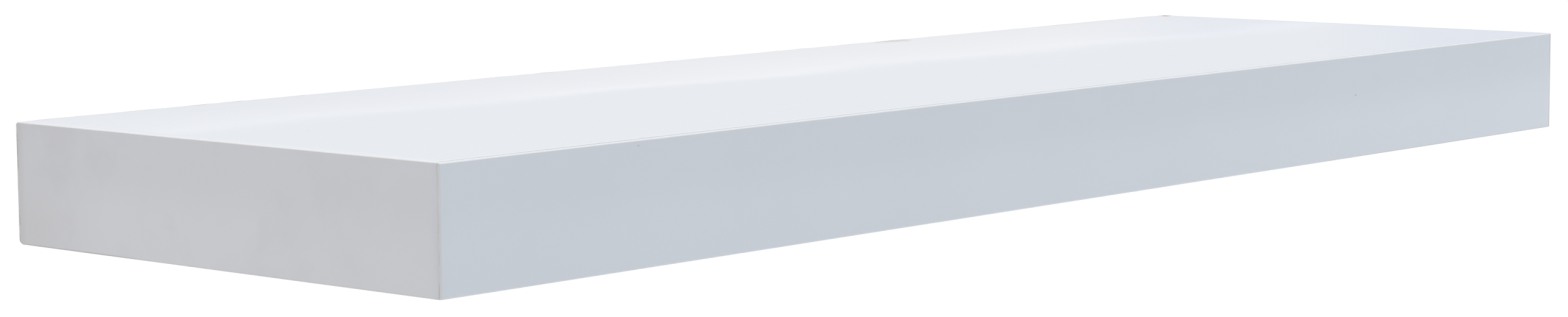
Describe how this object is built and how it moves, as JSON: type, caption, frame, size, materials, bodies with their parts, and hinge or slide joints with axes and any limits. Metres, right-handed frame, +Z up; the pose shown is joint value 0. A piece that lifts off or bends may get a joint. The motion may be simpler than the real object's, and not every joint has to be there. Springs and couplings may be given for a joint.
{
  "type": "floating wall shelf",
  "caption": "White hollow-core floating wall shelf with banded edges that slides on to a hidden steel rod bracket and is clamped from below by socket set screws.",
  "frame": {"origin": "middle of the bracket plate's back face, on the wall, at mid thickness of the board", "axes": "+X along the wall to the right seen from the room, +Y into the wall, +Z up; the front faces -Y"},
  "size_m": [0.8, 0.25, 0.05],
  "materials": {
    "white_skin": "white foil, glossy",
    "white_band": "white, glossy",
    "frame_board": "raw particle board",
    "guide_wood": "raw softwood",
    "honeycomb_paper": "kraft paper",
    "zinc_steel": "zinc plated",
    "rod_steel": "turned, zinc plated",
    "insert_brass": "satin",
    "black_steel": "black oxide"
  },
  "bodies": {
    "wall_bracket": {"wall_plate": "zinc_steel", "left_rod": "rod_steel", "right_rod": "rod_steel"},
    "shelf_board": {"top_skin": "white_skin", "bottom_skin": "white_skin", "front_rail": "frame_board", "back_rail": "frame_board", "left_end_rail": "frame_board", "right_end_rail": "frame_board", "left_guide_block": "guide_wood", "right_guide_block": "guide_wood", "left_core": "honeycomb_paper", "centre_core": "honeycomb_paper", "right_core": "honeycomb_paper", "front_edge_band": "white_band", "left_edge_band": "white_band", "right_edge_band": "white_band", "left_insert": "insert_brass", "right_insert": "insert_brass"},
    "left_lock": {"left_locking_screw": "black_steel"},
    "right_lock": {"right_locking_screw": "black_steel"}
  },
  "joints": [
    {"name": "shelf_slide", "type": "slide", "parent": "wall_bracket", "child": "shelf_board", "axis": [0, -1, 0], "range_m": [0, 0.17]},
    {"name": "left_lock_travel", "type": "slide", "parent": "shelf_board", "child": "left_lock", "axis": [0, 0, -1], "range_m": [0, 0.008]},
    {"name": "right_lock_travel", "type": "slide", "parent": "shelf_board", "child": "right_lock", "axis": [0, 0, -1], "range_m": [0, 0.008]}
  ]
}
